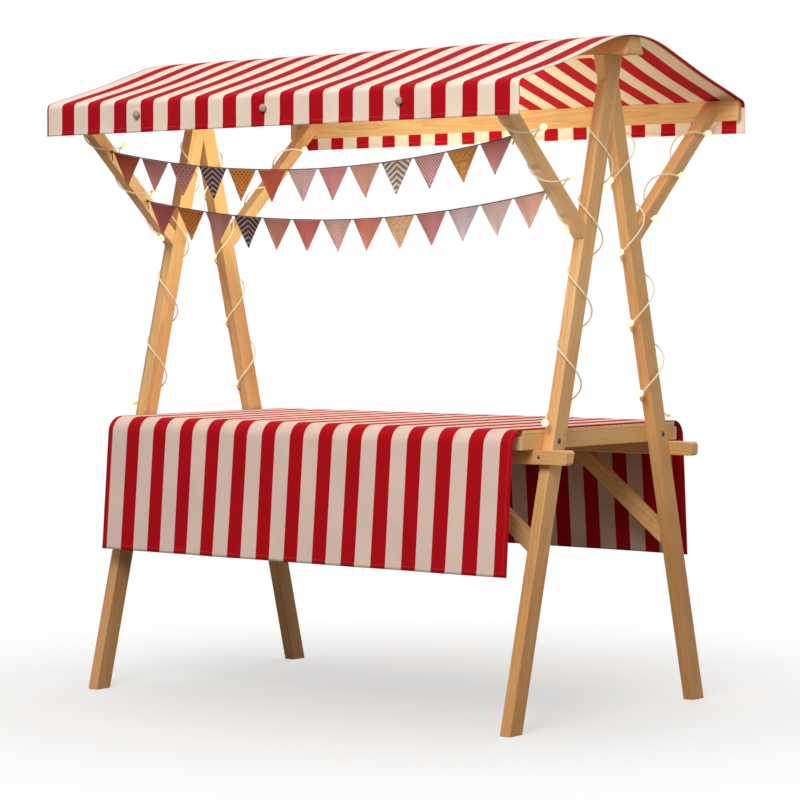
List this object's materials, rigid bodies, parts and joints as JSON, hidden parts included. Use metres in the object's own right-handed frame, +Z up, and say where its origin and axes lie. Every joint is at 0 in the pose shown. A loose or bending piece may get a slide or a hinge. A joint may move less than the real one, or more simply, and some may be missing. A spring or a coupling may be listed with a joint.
{
  "type": "wooden market stall",
  "caption": "Timber market stall: crossed-leg A-frames with eave braces carry a striped canopy and a draped counter table, dressed with bunting and string lights.",
  "frame": {"origin": "on the ground, in the middle between the four feet", "axes": "+X along the counter to the right, +Y from the front to the back, +Z up"},
  "size_m": [2, 1.3446, 2.2004],
  "materials": {
    "pine": "planed and clear oiled",
    "pale_pine": "planed, untreated",
    "knob_wood": "turned, untreated",
    "canopy_cloth": "woven canvas, red and cream stripes",
    "table_cloth": "woven cotton, red and cream stripes",
    "flag_cotton": "plain and printed cotton",
    "bunting_cord": "twisted cotton cord",
    "light_wire": "cream insulated twin wire",
    "lamp_glass": "frosted warm white globe"
  },
  "bodies": {
    "root": {"right_front_leg": "pine", "right_back_leg": "pine", "left_front_leg": "pine", "left_back_leg": "pine", "right_front_eave_brace": "pine", "right_back_eave_brace": "pine", "left_front_eave_brace": "pine", "left_back_eave_brace": "pine", "ridge_beam": "pine", "front_eave_beam": "pine", "back_eave_beam": "pine", "front_table_rail": "pine", "back_table_rail": "pine", "right_table_end_rail": "pine", "left_table_end_rail": "pine", "middle_table_batten": "pine", "front_table_apron": "pine", "back_table_apron": "pine", "front_table_lip": "pale_pine", "back_table_lip": "pale_pine", "table_board_1": "pale_pine", "table_board_2": "pale_pine", "table_board_3": "pale_pine", "table_board_4": "pale_pine", "table_board_5": "pale_pine", "right_front_knee_brace": "pine", "right_back_knee_brace": "pine", "left_front_knee_brace": "pine", "left_back_knee_brace": "pine", "canopy": "canopy_cloth", "canopy_knobs": "knob_wood", "tablecloth": "table_cloth", "upper_bunting_cord": "bunting_cord", "lower_bunting_cord": "bunting_cord", "upper_bunting_flags": "flag_cotton", "lower_bunting_flags": "flag_cotton", "right_leg_light_wire": "light_wire", "left_leg_light_wire": "light_wire", "right_front_brace_light_wire": "light_wire", "right_back_brace_light_wire": "light_wire", "left_front_brace_light_wire": "light_wire", "left_back_brace_light_wire": "light_wire", "right_lamps": "lamp_glass", "left_lamps": "lamp_glass"}
  },
  "joints": []
}
